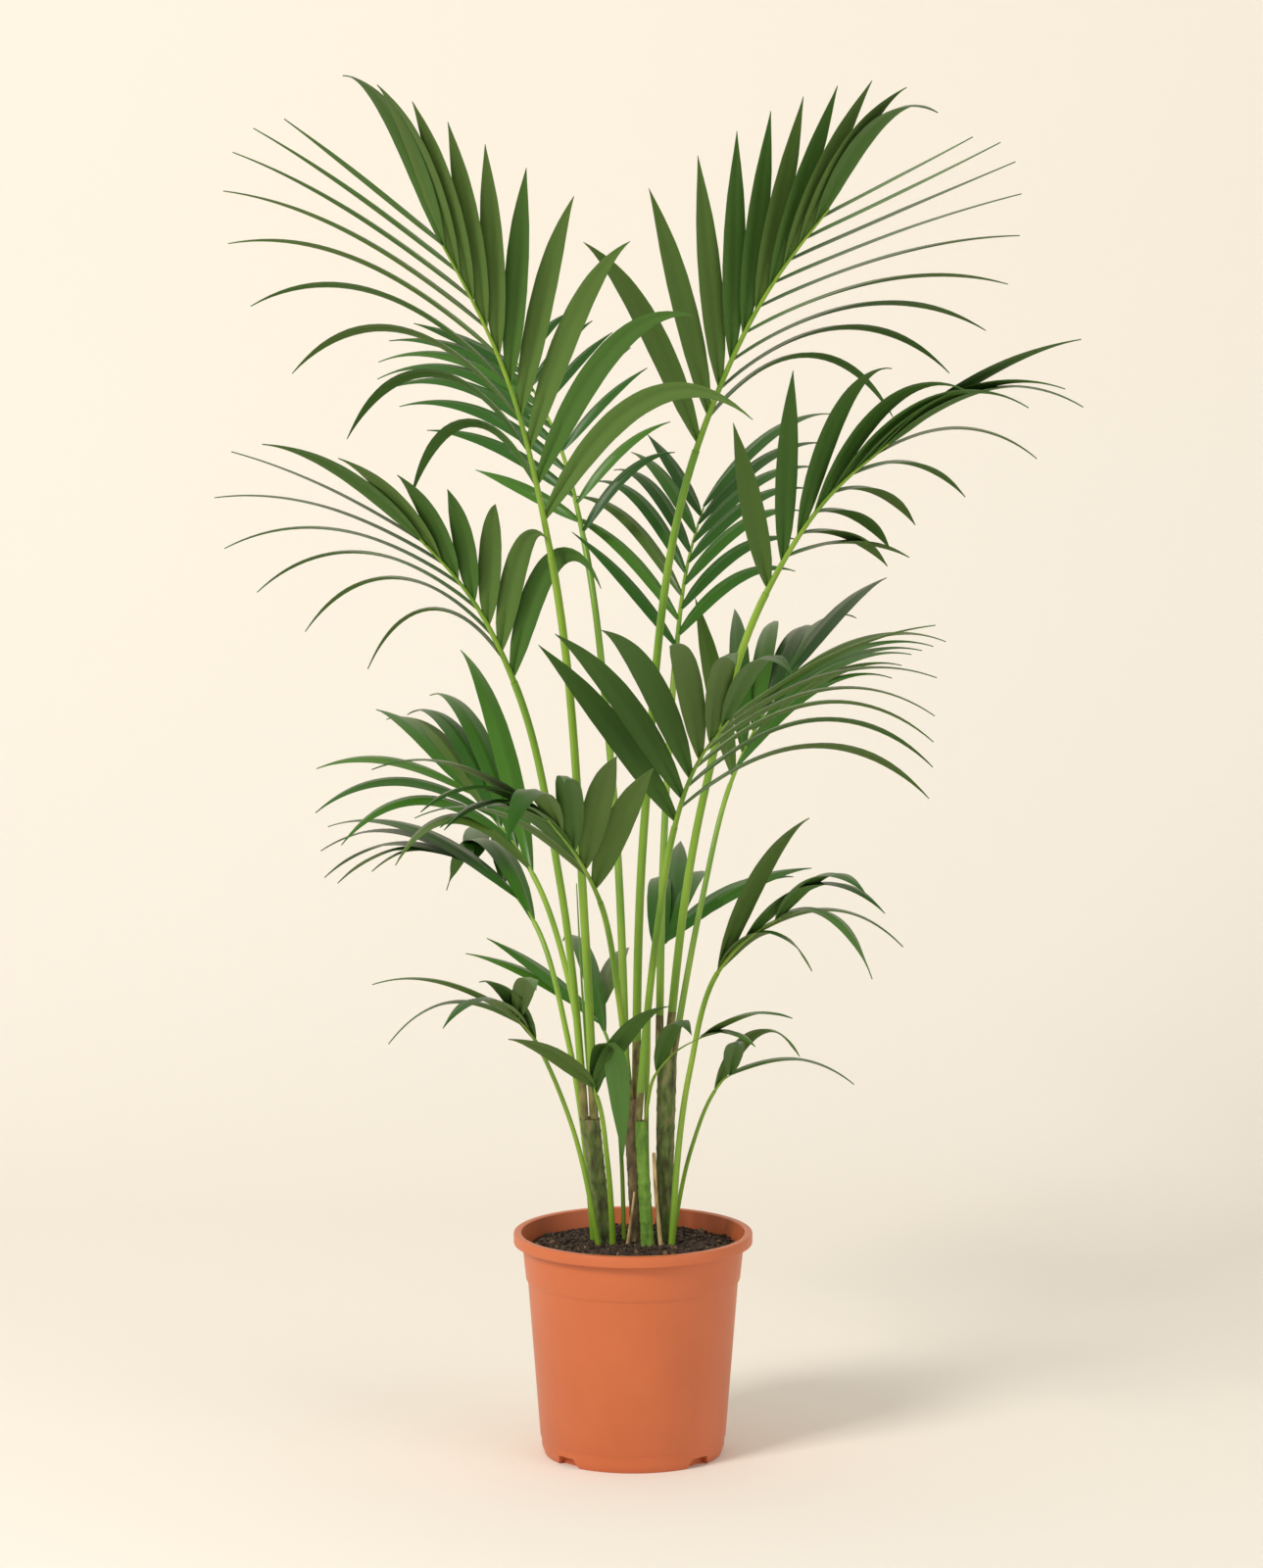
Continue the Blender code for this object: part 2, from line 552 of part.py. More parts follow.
def build():
    for old in list(bpy.data.objects):
        bpy.data.objects.remove(old)
    pot()
    soil()
    solids = list(canes().items()) + list(shoots().items())
    solids.append(("soil", tree_of(*tube(np.array(((0, 0, 0.1), (0, 0, SOIL_TOP))), np.array((UP, UP)),
                                         (RIM_RADIUS, RIM_RADIUS), 24))))
    blades = [Blade(name) for name in FRONDS]
    ribs = {}
    for blade in blades:
        points, faces = blade.stalk()
        mesh_object(f"stalk_{blade.name}", "stalk", points, faces)
        solids.append((f"stalk_{blade.name}", tree_of(points, faces)))
        points, faces = blade.rachis()
        ribs[blade.name] = mesh_object(f"frond_{blade.name}", "frond", points, faces)
        solids.append((blade.name, tree_of(points, faces)))
    for blade in blades:
        pieces = []
        for t, sign, side in blade.leaflets():
            rise = clear_leaflet(blade, t, sign, side, solids)
            if rise is None:
                print("left out:", blade.name, sign, round(float(t), 2))
                continue
            points, faces = blade.leaflet(t, sign, side, rise)
            pieces.append(mesh_object(f"leaflet_{len(pieces)}", "frond", points, faces))
            solids.append((blade.name, tree_of(points, faces)))
        fuse(ribs[blade.name], pieces)


build()
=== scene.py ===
"""The looks of a potted kentia palm: leaflets, stalks, canes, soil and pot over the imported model.

Metres, +Z up, the front towards -Y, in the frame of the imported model. The sizes, the fronds and the rule
that places their leaflets are the source's own, written again here.
"""

from collections import namedtuple
from math import cos, pi, radians, sin

import bmesh
import bpy
import numpy as np
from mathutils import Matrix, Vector, noise
from mathutils.bvhtree import BVHTree


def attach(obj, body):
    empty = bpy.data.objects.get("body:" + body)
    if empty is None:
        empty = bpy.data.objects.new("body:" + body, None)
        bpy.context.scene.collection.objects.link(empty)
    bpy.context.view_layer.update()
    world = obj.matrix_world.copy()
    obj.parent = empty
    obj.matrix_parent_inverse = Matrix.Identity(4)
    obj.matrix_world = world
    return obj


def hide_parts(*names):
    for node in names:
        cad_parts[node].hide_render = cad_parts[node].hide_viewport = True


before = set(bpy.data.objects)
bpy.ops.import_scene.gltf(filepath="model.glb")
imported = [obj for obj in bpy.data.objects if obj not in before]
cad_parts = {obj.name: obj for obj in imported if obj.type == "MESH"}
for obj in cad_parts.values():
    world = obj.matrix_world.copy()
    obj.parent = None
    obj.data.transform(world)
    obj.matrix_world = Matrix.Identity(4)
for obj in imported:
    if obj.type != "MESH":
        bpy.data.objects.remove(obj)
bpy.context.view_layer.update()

# Shared sizes
CLEAR = 0.0003
UP = np.array([0.0, 0.0, 1.0])

# Pot
POT_HEIGHT = 0.246
RIM_RADIUS = 0.130
MOUTH_RADIUS = 0.1217
FOOT_RADIUS = 0.0965
FLOOR_TOP = 0.0115
UNDERSIDE = 0.009
HOLE_RADIUS = 0.006
HOLE_RING = 0.064
HOLE_COUNT = 6
NOTCH_ANGLES = (47, 133, 227, 313)
NOTCH_HEIGHT = 0.0105
NOTCH_TOP = 0.011
NOTCH_FOOT = 0.0174
NOTCH_REACH = (0.0885, 0.115)
NOTCH_BELOW = 0.002

# Soil
SOIL_TOP = 0.234
SOIL_RADIUS = 0.1172
SOIL_BASE = 0.19
SOIL_BASE_RADIUS = 0.1115
SOIL_RINGS = 46
SOIL_TURNS = 150
SOIL_ROUGHNESS = 0.0022
SOIL_GRAIN = 90
CRUMB_COUNT = 1500
CRUMB_REACH = 0.113
CRUMB_SMALLEST = 0.0010
CRUMB_RANGE = 0.0026
CRUMB_LIFT = 0.25
CRUMB_JITTER = 0.5
SPECK_SHARE = 0.10

# Leaves
RISE = 15
DROOP_POWER = 1.4
CURVE_POINTS = 161
LEAF_STEPS = 5
LEAF_THINNEST = 0.003
LEAF_SLENDERNESS = 90
PROXY_MARGIN = 0.0008
RISE_TRIES = (0, 7, -7, 14, -14, 21, -21, 30, -30, 40, -40, 52, -52)
STALK_STEPS = 6
STALK_FACETS = 6
RACHIS_STEPS = 7
RACHIS_FACETS = 4
RACHIS_TAPER = (0.85, 0.3)
CANE_STEPS = 5
CANE_FACETS = 12
SHOOT_STEPS = 7
SHOOT_FACETS = 6
SOIL_FACETS = 24

# Finer steps for the looks
LEAF_ROWS = 26
LEAF_ACROSS = 8
LEAF_SKIN = 0.0004
LEAF_FOLD = 0.0032
PLEAT_DEPTH = 0.00035
UNDERSIDE_DROP = 0.00005
STALK_ROWS = 44
STALK_SIDES = 14
RIB_TAPER = (0.85, 0.28)
SCURF_SHARE = 0.10
HIGH_FOOT = 0.3
CANE_ROWS = 70
CANE_SIDES = 28
CANE_RELIEF = 0.0005
CANE_GRAIN = 260
CANE_RINGS = 5
SHOOT_ROWS = 40
SHOOT_SIDES = 12
POT_TURNS = 160
HOLE_SIDES = 24
SMOOTH_ANGLE = 50
POT_SMOOTH_ANGLE = 35

# Linear colours dealt by leaf, from deep to light, and the undersides
LEAF_GREENS = (
    (0.016, 0.070, 0.005), (0.024, 0.095, 0.007), (0.036, 0.125, 0.009),
    (0.052, 0.155, 0.012), (0.066, 0.125, 0.018),
)
UNDER_GREENS = ((0.055, 0.130, 0.020), (0.080, 0.150, 0.028))
CREAM = (0.86, 0.815, 0.735)
GREEN_SHARES = (0.22, 0.30, 0.26, 0.14, 0.08)
rng = np.random.default_rng(7)

# Camera
CAMERA_PLACE = (-0.0017, -6.5, 1.681)
CAMERA_DOWN = 8.256
LENS = 140
SENSOR = 36

Cane = namedtuple("Cane", "foot top radii")
CANES = {
    "cane_left": Cane((-0.030, 0.000, SOIL_TOP), (-0.0470, 0.000, 0.3712), (0.0080, 0.0110)),
    "cane_middle": Cane((0.0042, 0.003, SOIL_TOP), (-0.0020, 0.003, 0.3927), (0.0065, 0.0095)),
    "cane_front": Cane((0.0159, -0.018, SOIL_TOP), (0.0080, -0.021, 0.3727), (0.0075, 0.0065)),
    "cane_right": Cane((0.0330, 0.000, SOIL_TOP), (0.0370, 0.002, 0.4427), (0.0090, 0.0110)),
}

# A side of a frond: spread in degrees, droop and length, each at the base, middle and tip of the
# blade; how many leaflets, from where to where along it; how far their faces turn to the sky
Side = namedtuple("Side", "spread droop length count first last lay")
Frond = namedtuple("Frond", "foot bow blade arch tip turn upper stalk width left right")

FRONDS = {
    "01": Frond(
        (-0.0425, -0.003, 0.3715), (-0.051, -0.045, 0.574), (-0.086, -0.120, 0.996),
        (-0.125, -0.180, 1.172), (-0.193, -0.300, 1.333), -30, "back", (0.0050, 0.0042), 0.026,
        Side((0, 44, 42), (3.5, 1.1, 0.1), (0.085, 0.315, 0.205), 9, 0.19, 1.00, 0.6),
        Side((45, 20, 9), (1.6, 0.4, 0.7), (0.370, 0.300, 0.365), 10, 0.11, 1.00, 0.1),
    ),
    "02": Frond(
        (0.0035, 0.0065, 0.393), (0.012, -0.045, 0.702), (0.066, -0.115, 1.108),
        (0.124, -0.175, 1.252), (0.199, -0.280, 1.369), 30, "back", (0.0050, 0.0041), 0.026,
        Side((38, 16, 12), (0.7, 0.0, 1.1), (0.310, 0.280, 0.380), 10, 0.03, 0.92, 0.1),
        Side((16, 71, 59), (2.4, 0.4, 0.0), (0.195, 0.345, 0.150), 9, 0.10, 0.95, 0.7),
    ),
    "03": Frond(
        (0.038, -0.003, 0.443), (0.076, -0.015, 0.727), (0.142, -0.030, 0.948),
        (0.200, -0.050, 1.044), (0.269, -0.090, 1.113), 30, "back", (0.0048, 0.0040), 0.026,
        Side((41, 12, 2), (0.0, 1.1, 0.2), (0.190, 0.280, 0.275), 7, 0.03, 0.92, 0.15),
        Side((32, 72, 0), (0.0, 1.3, 1.0), (0.265, 0.130, 0.250), 7, 0.20, 1.00, 0.8),
    ),
    "04": Frond(
        (-0.0525, -0.0055, 0.3715), (-0.079, -0.025, 0.637), (-0.127, -0.050, 0.855),
        (-0.167, -0.070, 0.940), (-0.224, -0.110, 1.014), -25, "back", (0.0044, 0.0040), 0.026,
        Side((10, 36, 32), (2.3, 1.2, 0.2), (0.180, 0.280, 0.215), 6, 0.08, 0.95, 0.8),
        Side((33, 25, 0), (1.5, 0.7, 0.6), (0.245, 0.165, 0.230), 7, 0.03, 1.00, 0.15),
    ),
    "05": Frond(
        (0.0285, 0.006, 0.443), (0.035, 0.060, 0.697), (0.047, 0.110, 0.867),
        (0.057, 0.170, 0.942), (0.080, 0.270, 1.014), 5, "front", (0.0045, 0.0035), 0.018,
        Side((48, 33, 37), (0.3, 0.9, 0.0), (0.165, 0.205, 0.125), 7, 0.03, 0.90, 0.4),
        Side((33, 25, 15), (1.0, 0.8, 0.6), (0.170, 0.220, 0.305), 7, 0.09, 0.98, 0.4),
    ),
    "06": Frond(
        (-0.0075, 0.0085, 0.393), (-0.024, 0.090, 0.746), (-0.054, 0.150, 0.987),
        (-0.079, 0.220, 1.078), (-0.130, 0.330, 1.167), -20, "front", (0.0048, 0.0036), 0.018,
        Side((49, 23, 28), (0.0, 0.9, 0.0), (0.080, 0.285, 0.115), 8, 0.08, 0.92, 0.4),
        Side((49, 64, 58), (0.9, 0.4, 0.6), (0.140, 0.130, 0.090), 8, 0.03, 0.97, 0.4),
    ),
    "07": Frond(
        (0.0055, -0.0205, 0.373), (0.025, -0.050, 0.580), (0.044, -0.100, 0.706),
        (0.062, -0.150, 0.770), (0.099, -0.230, 0.838), 30, "back", (0.0044, 0.0036), 0.028,
        Side((36, 25, 9), (0.2, 0.6, 0.8), (0.320, 0.375, 0.315), 6, 0.05, 0.93, 0.1),
        Side((71, 44, 35), (1.4, 1.3, 0.4), (0.335, 0.280, 0.255), 6, 0.13, 0.97, 0.6),
    ),
    "08": Frond(
        (0.0445, 0.0065, 0.443), (0.075, 0.050, 0.603), (0.106, 0.090, 0.724),
        (0.132, 0.135, 0.775), (0.171, 0.210, 0.826), -30, "front", (0.0038, 0.0028), 0.024,
        Side((31, 15, 0), (0.0, 0.9, 0.4), (0.240, 0.285, 0.280), 6, 0.07, 1.00, 0.2),
        Side((18, 28, 34), (1.1, 0.8, 0.9), (0.235, 0.215, 0.215), 6, 0.14, 0.94, 0.8),
    ),
    "09": Frond(
        (-0.003, -0.0025, 0.393), (-0.016, -0.045, 0.517), (-0.035, -0.110, 0.627),
        (-0.055, -0.155, 0.676), (-0.089, -0.220, 0.732), -25, "back", (0.0038, 0.0032), 0.030,
        Side((58, 10, 20), (0.6, 1.1, 0.7), (0.240, 0.235, 0.265), 5, 0.25, 0.95, 0.7),
        Side((30, 22, 5), (0.5, 0.6, 2.0), (0.250, 0.270, 0.260), 4, 0.15, 0.80, 0.1),
    ),
    "10": Frond(
        (-0.052, 0.0055, 0.3715), (-0.070, 0.025, 0.519), (-0.109, 0.050, 0.631),
        (-0.140, 0.075, 0.674), (-0.191, 0.120, 0.723), 30, "front", (0.0038, 0.0030), 0.028,
        Side((10, 31, 30), (2.0, 1.4, 0.6), (0.190, 0.215, 0.150), 4, 0.05, 0.85, 0.6),
        Side((18, 17, 6), (0.7, 1.0, 0.4), (0.320, 0.270, 0.160), 5, 0.03, 0.92, 0.5),
    ),
    "11": Frond(
        (-0.043, 0.0135, 0.234), (-0.070, 0.035, 0.447), (-0.108, 0.080, 0.573),
        (-0.136, 0.120, 0.605), (-0.186, 0.200, 0.627), 30, "front", (0.0038, 0.0028), 0.030,
        Side((26, 15, 32), (0.6, 1.0, 1.1), (0.210, 0.290, 0.120), 5, 0.25, 0.98, 0.75),
        Side((7, 31, 31), (1.8, 0.9, 0.4), (0.300, 0.230, 0.170), 3, 0.03, 0.90, 0.1),
    ),
    "12": Frond(
        (-0.038, -0.0145, 0.234), (-0.064, -0.035, 0.363), (-0.105, -0.080, 0.472),
        (-0.113, -0.100, 0.488), (-0.125, -0.125, 0.506), -20, "back", (0.0030, 0.0022), 0.024,
        Side((45, 32, 27), (1.1, 1.5, 0.7), (0.190, 0.180, 0.185), 2, 0.55, 1.00, 0.4),
        Side((7, 0, 39), (0.5, 1.0, 0.6), (0.205, 0.215, 0.220), 3, 0.05, 0.90, 0.3),
    ),
    "13": Frond(
        (-0.010, 0.015, 0.234), (-0.018, 0.040, 0.381), (-0.031, 0.075, 0.452),
        (-0.036, 0.085, 0.459), (-0.043, 0.100, 0.466), 20, "front", (0.0026, 0.0018), 0.022,
        Side((43, 17, 24), (0.9, 0.3, 0.4), (0.200, 0.195, 0.195), 2, 0.50, 1.00, 0.3),
        Side((9, 32, 31), (1.0, 0.8, 0.5), (0.270, 0.230, 0.200), 2, 0.05, 0.90, 0.3),
    ),
    "14": Frond(
        (0.042, -0.014, 0.234), (0.061, -0.035, 0.429), (0.090, -0.075, 0.544),
        (0.113, -0.100, 0.578), (0.156, -0.145, 0.616), 30, "back", (0.0038, 0.0028), 0.027,
        Side((13, 10, 25), (0.5, 1.0, 0.7), (0.300, 0.290, 0.280), 3, 0.05, 0.95, 0.2),
        Side((0, 26, 0), (1.7, 1.4, 2.4), (0.160, 0.190, 0.155), 3, 0.03, 0.96, 0.5),
    ),
    "15": Frond(
        (0.018, 0.016, 0.234), (0.016, 0.040, 0.419), (0.027, 0.075, 0.536),
        (0.032, 0.085, 0.545), (0.043, 0.105, 0.558), -10, "front", (0.0030, 0.0022), 0.027,
        Side((21, 11, 26), (1.3, 0.9, 0.5), (0.200, 0.205, 0.205), 3, 0.05, 0.95, 0.3),
        Side((45, 18, 21), (1.0, 0.7, 0.5), (0.210, 0.205, 0.205), 2, 0.60, 1.00, 0.3),
    ),
    "16": Frond(
        (0.0135, -0.0240, 0.373), (0.016, -0.040, 0.396), (0.023, -0.065, 0.430),
        (0.039, -0.085, 0.455), (0.074, -0.125, 0.484), 30, "back", (0.0020, 0.0018), 0.024,
        Side((10, 26, 11), (1.1, 0.8, 0.5), (0.170, 0.180, 0.190), 2, 0.10, 1.00, 0.3),
        Side((47, 33, 2), (1.0, 0.9, 1.0), (0.120, 0.105, 0.080), 1, 0.97, 0.97, 0.3),
    ),
    "17": Frond(
        (0.0435, 0.0095, 0.234), (0.064, -0.010, 0.342), (0.088, -0.035, 0.408),
        (0.094, -0.040, 0.418), (0.106, -0.055, 0.430), 20, "back", (0.0026, 0.0020), 0.022,
        Side((5, 18, 32), (1.5, 1.0, 0.5), (0.170, 0.180, 0.190), 2, 0.10, 0.95, 0.3),
        Side((46, 33, 20), (1.0, 1.1, 1.0), (0.175, 0.165, 0.155), 1, 0.90, 0.90, 0.3),
    ),
    "18": Frond(
        (-0.022, -0.012, 0.234), (-0.028, -0.040, 0.334), (-0.039, -0.070, 0.409),
        (-0.041, -0.073, 0.415), (-0.042, -0.078, 0.421), 10, "back", (0.0035, 0.0025), 0.028,
        Side((78, 62, 24), (2.8, 2.1, 0.3), (0.125, 0.130, 0.145), 2, 0.15, 0.95, 0.4),
        Side((38, 22, 28), (3.2, 3.6, 0.5), (0.200, 0.200, 0.180), 2, 0.33, 0.98, 0.4),
    ),
}

# The unopened leaf, the cut stub and the dry sheath, each a tapering tube through its points
Shoot = namedtuple("Shoot", "points radii")
SHOOTS = {
    "spear": Shoot(
        ((-0.0445, 0.0085, 0.3715), (-0.053, 0.001, 0.480), (-0.061, -0.004, 0.630)), (0.0022, 0.0006)
    ),
    "cut_stub": Shoot(
        ((0.0300, -0.0160, 0.234), (0.0250, -0.0190, 0.290), (0.0225, -0.0215, 0.337)), (0.0024, 0.0020)
    ),
    "dry_sheath": Shoot(
        ((-0.0060, -0.0130, 0.234), (-0.0020, -0.0150, 0.262), (0.0015, -0.0165, 0.293)), (0.0022, 0.0012)
    ),
}


def unit(vector):
    """One vector, or each row of an array, at length one."""
    return vector / np.linalg.norm(vector, axis=-1, keepdims=True)


def smooth_curve(points, count):
    """Points and tangents along one smooth curve through the given points, spaced by their chords."""
    knots = np.asarray(points, float)
    chords = np.linalg.norm(np.diff(knots, axis=0), axis=1)
    at = np.concatenate([[0], np.cumsum(chords)]) / chords.sum()
    step = np.diff(at)
    slope = np.diff(knots, axis=0) / step[:, None]
    pull = np.empty_like(knots)
    pull[1:-1] = (slope[:-1] * step[1:, None] + slope[1:] * step[:-1, None]) / (step[:-1] + step[1:])[:, None]
    pull[0] = 1.5 * slope[0] - 0.5 * pull[1]
    pull[-1] = 1.5 * slope[-1] - 0.5 * pull[-2]
    where = np.linspace(0, 1, count)
    cell = np.clip(np.searchsorted(at, where, side="right") - 1, 0, len(step) - 1)
    width = step[cell][:, None]
    s = (where[:, None] - at[cell][:, None]) / width
    start, end = knots[cell], knots[cell + 1]
    leave, arrive = pull[cell] * width, pull[cell + 1] * width
    line = (
        start * (2 * s**3 - 3 * s**2 + 1) + leave * (s**3 - 2 * s**2 + s)
        + end * (3 * s**2 - 2 * s**3) + arrive * (s**3 - s**2)
    )
    tangent = (
        start * (6 * s**2 - 6 * s) + leave * (3 * s**2 - 4 * s + 1)
        + end * (6 * s - 6 * s**2) + arrive * (3 * s**2 - 2 * s)
    )
    return line, unit(tangent)


def part_of_curve(line, tangent, low, high, count):
    """The stretch of a curve between two shares of it, resampled."""
    share = np.linspace(0, 1, len(line))
    where = np.linspace(low, high, count)
    pick = [np.interp(where, share, line[:, axis]) for axis in range(3)]
    turn = [np.interp(where, share, tangent[:, axis]) for axis in range(3)]
    return np.stack(pick, axis=1), unit(np.stack(turn, axis=1))


def tube(line, tangent, radii, sides, flat_foot=False):
    """Points and faces of a closed tapering tube. A flat foot has its first ring level."""
    points = []
    for place, along, radius in zip(line, tangent, radii):
        across = unit(np.cross(along, (0.0, 1.0, 0.0)))
        back = np.cross(across, along)
        for k in range(sides):
            angle = 2 * pi * (k + 0.5) / sides
            points.append(place + radius * (cos(angle) * across + sin(angle) * back))
    if flat_foot:
        for k in range(sides):
            angle = 2 * pi * (k + 0.5) / sides
            points[k] = line[0] + radii[0] * np.array((-cos(angle), sin(angle), 0.0))
    faces = [tuple(range(sides)), tuple(range((len(line) - 1) * sides, len(line) * sides))]
    for ring in range(len(line) - 1):
        for k in range(sides):
            a = ring * sides + k
            b = ring * sides + (k + 1) % sides
            faces.append((a, b, b + sides, a + sides))
    return points, faces


def frond_frame(tangent, turn, upper):
    """The side and the normal of a blade whose face is turned by an angle about +Z."""
    facing = np.array((cos(radians(turn)), sin(radians(turn)), 0.0))
    side = unit(facing - (facing @ tangent) * tangent)
    normal = np.cross(side, tangent)
    return side, -normal if upper == "back" else normal


def along_blade(values, t):
    """A value that runs from base to middle to tip."""
    base, middle, tip = values
    return base * (1 - t) * (1 - 2 * t) + middle * 4 * t * (1 - t) + tip * t * (2 * t - 1)


def leaflet_line(start, tangent, side, normal, sign, spread, rise, droop, length, steps):
    """A leaflet leaves its rib at an angle and bends down under its weight."""
    out, lift = radians(spread), radians(rise)
    first = cos(out) * tangent + sin(out) * (sign * cos(lift) * side + sin(lift) * normal)
    share = (np.arange(steps) + 0.5) / steps
    heading = unit(first - UP * (droop * share[:, None] ** DROOP_POWER))
    return np.vstack([start, start + np.cumsum(heading * length / steps, axis=0)])


def leaf_facing(line, normal, lay):
    """The way across a leaflet and the way its face looks, at each of its points."""
    along = unit(np.gradient(line, axis=0))
    toward = unit(normal - (along @ normal)[:, None] * along)
    sky = unit(UP - (along @ UP)[:, None] * along)
    face = unit((1 - lay) * toward + lay * sky)
    return np.cross(along, face), face


def leaf_shape(line, normal, lay, width, thick):
    """A leaflet as the source's closed three-sided blade: two edges and a ridge."""
    steps = len(line) - 1
    across, face = leaf_facing(line, normal, lay)
    share = np.linspace(0, 1, steps + 1)
    half = 0.5 * width * np.interp(share, (0, 0.15, 0.4, 0.7, 0.9, 1), (0.35, 0.70, 1.0, 0.8, 0.35, 0.02))
    points = []
    for k in range(steps):
        points += [
            line[k] - across[k] * half[k],
            line[k] + across[k] * half[k],
            line[k] + face[k] * thick * (1 - 0.4 * share[k]),
        ]
    points.append(line[-1])
    faces = [(0, 1, 2)]
    for k in range(steps - 1):
        a = 3 * k
        faces += [(a, a + 3, a + 4, a + 1), (a + 1, a + 4, a + 5, a + 2), (a + 2, a + 5, a + 3, a)]
    a = 3 * (steps - 1)
    tip = 3 * steps
    faces += [(a, tip, a + 1), (a + 1, tip, a + 2), (a + 2, tip, a)]
    return points, faces


def tree_of(points, faces):
    """A tree of a shape's faces, for finding where two shapes touch."""
    return BVHTree.FromPolygons([tuple(p) for p in points], faces)


class Blade:
    """One frond's curve, split where its leaflets begin."""

    def __init__(self, name):
        self.name = name
        self.plan = FRONDS[name]
        knots = (self.plan.foot, self.plan.bow, self.plan.blade, self.plan.arch, self.plan.tip)
        chords = np.linalg.norm(np.diff(np.asarray(knots), axis=0), axis=1)
        self.split = chords[:2].sum() / chords.sum()
        self.length = chords.sum()
        self.line, self.tangent = smooth_curve(knots, CURVE_POINTS)

    def stalk(self):
        """The source's coarse stalk."""
        line, tangent = part_of_curve(self.line, self.tangent, 0, self.split, STALK_STEPS + 1)
        radii = np.linspace(*self.plan.stalk, STALK_STEPS + 1)
        return tube(line, tangent, radii, STALK_FACETS, flat_foot=True)

    def rachis(self):
        """The source's coarse rib, from just past the stalk's end to the tip."""
        start = self.split + CLEAR / self.length
        line, tangent = part_of_curve(self.line, self.tangent, start, 1, RACHIS_STEPS + 1)
        radii = self.plan.stalk[1] * np.linspace(*RACHIS_TAPER, RACHIS_STEPS + 1)
        return tube(line, tangent, radii, RACHIS_FACETS)

    def leaflets(self):
        """Each leaflet's place along the blade, its sign and its side's values, from the base up."""
        for sign, side in ((-1, self.plan.left), (1, self.plan.right)):
            for t in np.linspace(side.first, side.last, side.count):
                yield t, sign, side

    def leaflet_path(self, t, sign, side, rise, steps):
        """A leaflet's line from the rib outwards, and the blade's normal there."""
        where = self.split + t * (1 - self.split)
        place, along = part_of_curve(self.line, self.tangent, where, where, 1)
        across, normal = frond_frame(along[0], self.plan.turn, self.plan.upper)
        line = leaflet_line(
            place[0], along[0], across, normal, sign, along_blade(side.spread, t), rise,
            along_blade(side.droop, t), along_blade(side.length, t), steps,
        )
        return line, normal

    def leaflet(self, t, sign, side, rise, margin=0.0):
        """A leaflet as the source's coarse solid, or with a margin, the space it keeps to itself."""
        line, normal = self.leaflet_path(t, sign, side, rise, LEAF_STEPS)
        thick = max(LEAF_THINNEST, along_blade(side.length, t) / LEAF_SLENDERNESS)
        return leaf_shape(line, normal, side.lay, self.plan.width + margin, thick + margin)


def shader_of(name, colour, roughness, **sockets):
    """A new Principled material and its tree."""
    made = bpy.data.materials.new(name)
    made.use_nodes = True
    shader = made.node_tree.nodes["Principled BSDF"]
    shader.inputs["Base Color"].default_value = (*colour, 1)
    shader.inputs["Roughness"].default_value = roughness
    for socket, value in sockets.items():
        shader.inputs[socket.replace("_", " ")].default_value = value
    return made, made.node_tree, shader


def noise_node(tree, scale, detail=4.0, stretch=(1, 1, 1)):
    """A noise fixed to the object, stretched along an axis where the finish is streaked."""
    where = tree.nodes.new("ShaderNodeTexCoord")
    mapping = tree.nodes.new("ShaderNodeMapping")
    mapping.inputs["Scale"].default_value = stretch
    texture = tree.nodes.new("ShaderNodeTexNoise")
    texture.inputs["Scale"].default_value = scale
    texture.inputs["Detail"].default_value = detail
    tree.links.new(where.outputs["Object"], mapping.inputs["Vector"])
    tree.links.new(mapping.outputs["Vector"], texture.inputs["Vector"])
    return texture


def add_bump(tree, shader, texture, strength, distance):
    """Roughens the surface with the texture."""
    bump = tree.nodes.new("ShaderNodeBump")
    bump.inputs["Strength"].default_value = strength
    bump.inputs["Distance"].default_value = distance
    tree.links.new(texture.outputs["Fac"], bump.inputs["Height"])
    tree.links.new(bump.outputs["Normal"], shader.inputs["Normal"])


def add_ramp(tree, shader, texture, stops):
    """Colours the surface from the texture by stops of place and colour."""
    ramp = tree.nodes.new("ShaderNodeValToRGB")
    elements = ramp.color_ramp.elements
    while len(elements) < len(stops):
        elements.new(0.5)
    for element, (place, colour) in zip(elements, stops):
        element.position = place
        element.color = (*colour, 1)
    tree.links.new(texture.outputs["Fac"], ramp.inputs["Fac"])
    tree.links.new(ramp.outputs["Color"], shader.inputs["Base Color"])


def leaf_materials():
    """The faces' greens, from deep to light, and after them the undersides'."""
    made = []
    for k, colour in enumerate(LEAF_GREENS):
        material, tree, shader = shader_of(f"leaf_top_{k}", colour, 0.36, Specular_IOR_Level=0.28)
        add_bump(tree, shader, noise_node(tree, 260, 3), 0.18, 0.0004)
        made.append(material)
    for k, colour in enumerate(UNDER_GREENS):
        material, tree, shader = shader_of(f"leaf_under_{k}", colour, 0.6, Specular_IOR_Level=0.2)
        add_bump(tree, shader, noise_node(tree, 260, 3), 0.2, 0.0004)
        made.append(material)
    return made


